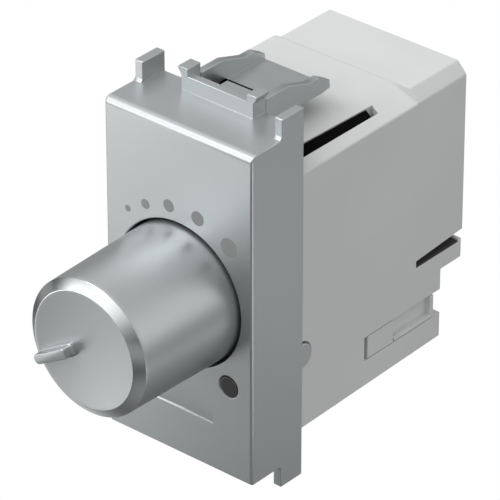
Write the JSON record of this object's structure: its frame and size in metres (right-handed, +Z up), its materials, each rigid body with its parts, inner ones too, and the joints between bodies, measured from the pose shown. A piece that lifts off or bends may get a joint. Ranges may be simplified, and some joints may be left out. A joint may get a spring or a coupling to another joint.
{
  "type": "rotary dimmer switch",
  "caption": "Modular rotary dimmer insert for a wall plate: long round push and turn knob, silver front, sprung frame latch, pale housing with clamp terminals.",
  "frame": {"origin": "centre of the frame window, on the shaft axis, in the plane where the lugs bear on the mounting frame", "axes": "+X right seen from the room, +Y into the wall, +Z up; the knob points to -Y"},
  "size_m": [0.0226, 0.0584, 0.0507],
  "materials": {
    "silver_plastic": "satin metallic paint",
    "light_plastic": "matt moulded",
    "inner_plastic": "matt moulded",
    "smoked_lens": "polished",
    "clear_plastic": "clear",
    "dark_plastic": "matt",
    "rotor_plastic": "smooth",
    "steel": "zinc plated",
    "spring_steel": "bright drawn",
    "brass": "bright",
    "copper_wire": "enamelled",
    "aluminium": "mill finish",
    "black_aluminium": "black anodised",
    "board": "solder resist",
    "phenolic": "smooth",
    "carbon_track": "matt",
    "ferrite": "matt",
    "film_case": "epoxy",
    "can_sleeve": "shrink sleeve",
    "pad": "matt",
    "led_body": "clear"
  },
  "bodies": {
    "chassis": {"front_bezel": "silver_plastic", "pilot_lens": "smoked_lens", "light_pipe": "clear_plastic", "latch_pin": "steel", "latch_spring": "spring_steel", "housing_shell": "light_plastic", "slot_strip": "dark_plastic", "carrier_plate": "inner_plastic", "terminal_block": "light_plastic", "contact_bars": "brass", "bushing": "brass", "bushing_nut": "steel", "bushing_washer": "steel", "pot_cup": "dark_plastic", "track_board": "phenolic", "resistive_track": "carbon_track", "pot_pins": "steel", "switch_body": "dark_plastic", "return_spring": "spring_steel", "switch_contacts": "brass", "front_board": "board", "main_board": "board", "indicator_led": "led_body", "triac": "dark_plastic", "heat_sink": "black_aluminium", "insulating_pad": "pad", "triac_screw": "steel", "choke_core": "ferrite", "choke_winding": "copper_wire", "film_capacitor": "film_case", "can_capacitor": "can_sleeve", "round_fuse": "dark_plastic", "controller_chip": "dark_plastic", "chip_resistors": "dark_plastic"},
    "knob": {"knob": "silver_plastic", "knob_grip_ring": "spring_steel", "control_shaft": "aluminium", "shaft_clip": "spring_steel"},
    "plunger": {"switch_plunger": "rotor_plastic"},
    "wiper": {"wiper_rotor": "rotor_plastic", "wiper_contact": "brass"},
    "latch": {"latch_lever": "silver_plastic"},
    "screw_1": {"terminal_screw_1": "steel"},
    "cage_1": {"clamp_cage_1": "steel"},
    "screw_2": {"terminal_screw_2": "steel"},
    "cage_2": {"clamp_cage_2": "steel"},
    "screw_3": {"terminal_screw_3": "steel"},
    "cage_3": {"clamp_cage_3": "steel"}
  },
  "joints": [
    {"name": "knob_push", "type": "slide", "parent": "chassis", "child": "plunger", "axis": [0, 1, 0], "range_m": [0, 0.0012], "stiffness_N_per_m": 3000, "springref_m": -0.0004, "deforming": ["return_spring"]},
    {"name": "knob_turn", "type": "hinge", "parent": "plunger", "child": "knob", "pos_m": [0, 0, 0], "axis": [0, 1, 0], "range_deg": [0, 240]},
    {"name": "wiper_turn", "type": "hinge", "parent": "chassis", "child": "wiper", "pos_m": [0, 0, 0], "axis": [0, 1, 0], "range_deg": [0, 240]},
    {"name": "latch_tilt", "type": "hinge", "parent": "chassis", "child": "latch", "pos_m": [0, 0.00195, 0.02147], "axis": [1, 0, 0], "range_deg": [-9, 0], "stiffness_Nm_per_rad": 0.3, "springref_deg": 2.86, "deforming": ["latch_spring"]},
    {"name": "screw_1_turn", "type": "hinge", "parent": "chassis", "child": "screw_1", "pos_m": [-0.0064, 0.01965, -0.0165], "axis": [0, 0, 1], "range_deg": [0, 1260]},
    {"name": "cage_1_slide", "type": "slide", "parent": "chassis", "child": "cage_1", "axis": [0, 0, -1], "range_m": [0, 0.00175]},
    {"name": "screw_2_turn", "type": "hinge", "parent": "chassis", "child": "screw_2", "pos_m": [0, 0.01965, -0.0165], "axis": [0, 0, 1], "range_deg": [0, 1260]},
    {"name": "cage_2_slide", "type": "slide", "parent": "chassis", "child": "cage_2", "axis": [0, 0, -1], "range_m": [0, 0.00175]},
    {"name": "screw_3_turn", "type": "hinge", "parent": "chassis", "child": "screw_3", "pos_m": [0.0064, 0.01965, -0.0165], "axis": [0, 0, 1], "range_deg": [0, 1260]},
    {"name": "cage_3_slide", "type": "slide", "parent": "chassis", "child": "cage_3", "axis": [0, 0, -1], "range_m": [0, 0.00175]}
  ],
  "couplings": [
    {"joint": "wiper_turn", "follows": "knob_turn", "ratio": 1},
    {"joint": "screw_1_turn", "follows": "cage_1_slide", "rad_per_m": 12566},
    {"joint": "screw_2_turn", "follows": "cage_2_slide", "rad_per_m": 12566},
    {"joint": "screw_3_turn", "follows": "cage_3_slide", "rad_per_m": 12566}
  ]
}
